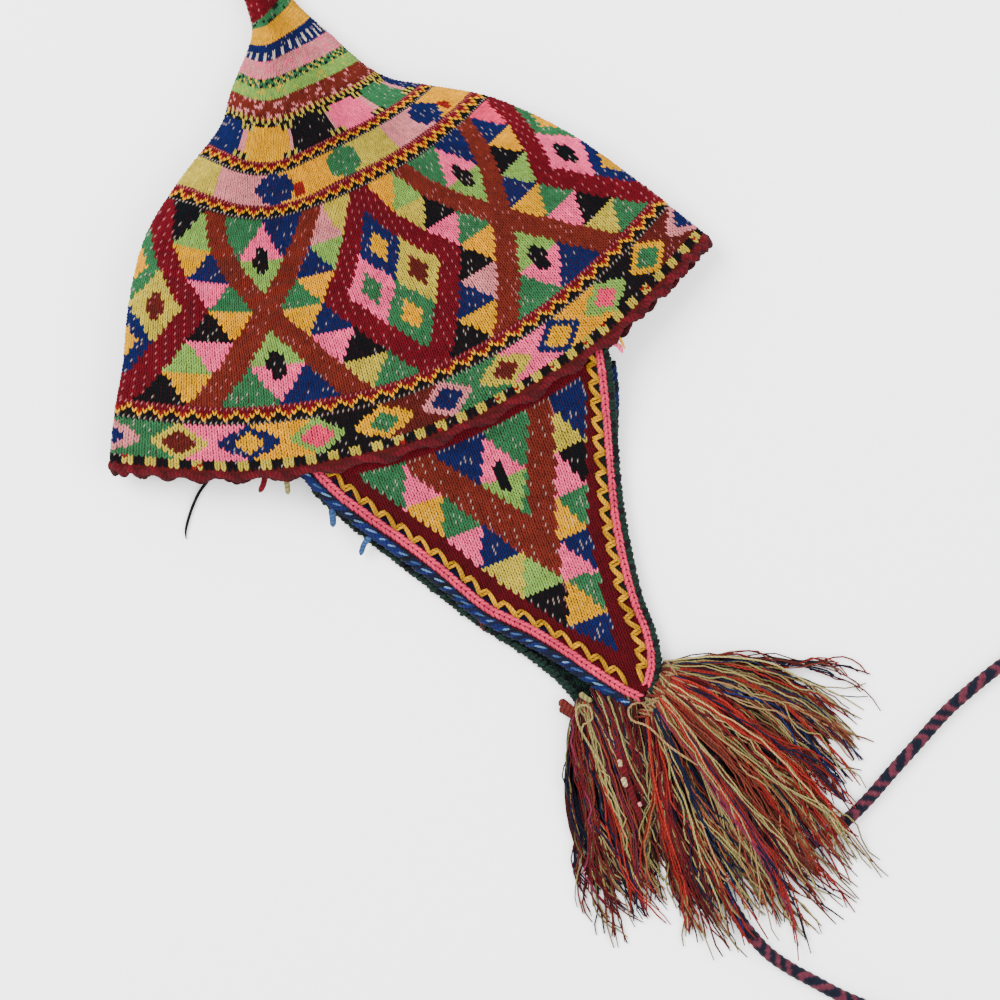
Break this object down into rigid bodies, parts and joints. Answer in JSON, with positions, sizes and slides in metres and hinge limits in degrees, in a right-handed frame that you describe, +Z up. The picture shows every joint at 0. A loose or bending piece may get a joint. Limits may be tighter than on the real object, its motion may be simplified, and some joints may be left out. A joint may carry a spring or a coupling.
{
  "type": "knitted ear flap hat",
  "caption": "Knitted conical cap lying flat, with two patterned ear flaps, yarn tassels and braided ties.",
  "frame": {"origin": "on the crown's flat underside, midway between the two ends of the rim, on the surface that the hat lies on", "axes": "+Z up from that surface, +Y from the rim towards the tip, +X to the right across the rim"},
  "size_m": [0.3046, 0.4658, 0.0403],
  "materials": {
    "crown_knit": "hand-knitted wool in many-coloured bands",
    "crimson_crochet": "crimson wool crochet edge",
    "flap_knit": "hand-knitted wool, coloured triangles on crimson",
    "pink_crochet": "pink wool chain with navy and green edge",
    "tassel_yarn": "loose two-ply wool yarn in mixed colours",
    "rose_braid": "braided wool cord, dusty rose and navy"
  },
  "bodies": {
    "root": {"crown": "crown_knit", "rim_edging": "crimson_crochet", "flap_front": "flap_knit", "flap_back": "flap_knit", "flap_edging_front": "pink_crochet", "flap_edging_back": "pink_crochet", "tassel_front": "tassel_yarn", "tassel_back": "tassel_yarn", "tie_front": "rose_braid", "tie_back": "rose_braid"}
  },
  "joints": []
}
